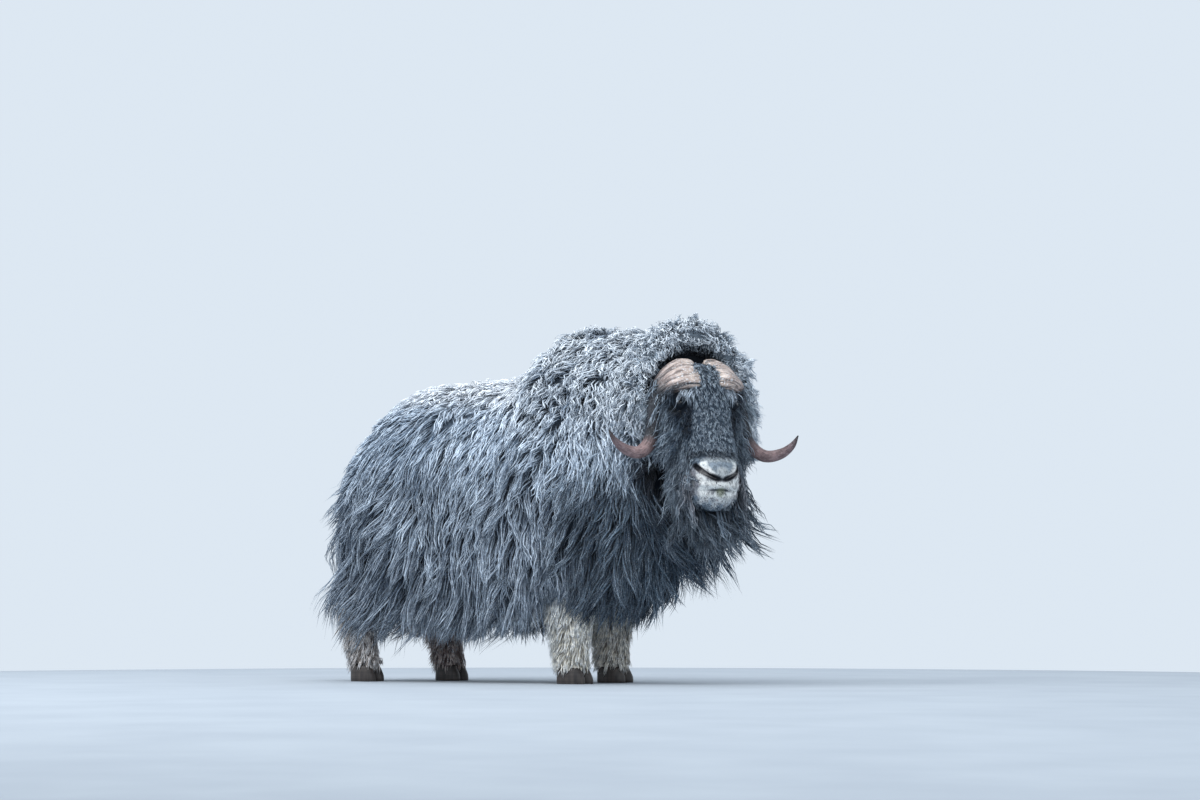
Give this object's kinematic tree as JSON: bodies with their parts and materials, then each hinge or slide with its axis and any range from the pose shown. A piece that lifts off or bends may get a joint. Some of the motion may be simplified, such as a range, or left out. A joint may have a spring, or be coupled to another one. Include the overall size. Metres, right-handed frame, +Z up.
{
  "type": "muskox",
  "caption": "A life-size adult muskox bull that stands still with its head turned to its right, with a boss and down-curved horns, a hump, a woolly hood and a long shaggy coat.",
  "frame": {"origin": "on the floor under the middle of the whole's bounding box", "axes": "+X is forward, along the body, +Y is the animal's left, +Z is up"},
  "size_m": [2.0798, 0.81, 1.4322],
  "materials": {
    "coat": "long, coarse guard hair, slate brown with frost on the upper side, nearly matt",
    "mane": "thick woolly hair of the neck and hood, frosted, matt",
    "face_fur": "short dense dark fur, paler on the nose and lips",
    "leg_fur": "short shaggy cream to grey-brown fur",
    "hoof": "dark horn, slightly rough",
    "horn": "rough, fibrous pale boss that turns to smooth horn with dark tips",
    "eye": "wet dark brown eye"
  },
  "bodies": {
    "root": {"eye_left": "eye", "eye_right": "eye", "horn_left": "horn", "horn_right": "horn", "head": "face_fur", "ear_left": "mane", "ear_right": "mane", "hoof_front_right_outer": "hoof", "hoof_front_right_inner": "hoof", "leg_front_right": "leg_fur", "hoof_front_left_outer": "hoof", "hoof_front_left_inner": "hoof", "leg_front_left": "leg_fur", "hoof_rear_right_outer": "hoof", "hoof_rear_right_inner": "hoof", "leg_rear_right": "leg_fur", "hoof_rear_left_outer": "hoof", "hoof_rear_left_inner": "hoof", "leg_rear_left": "leg_fur", "tail": "coat", "torso": "coat", "neck": "mane"}
  },
  "joints": []
}
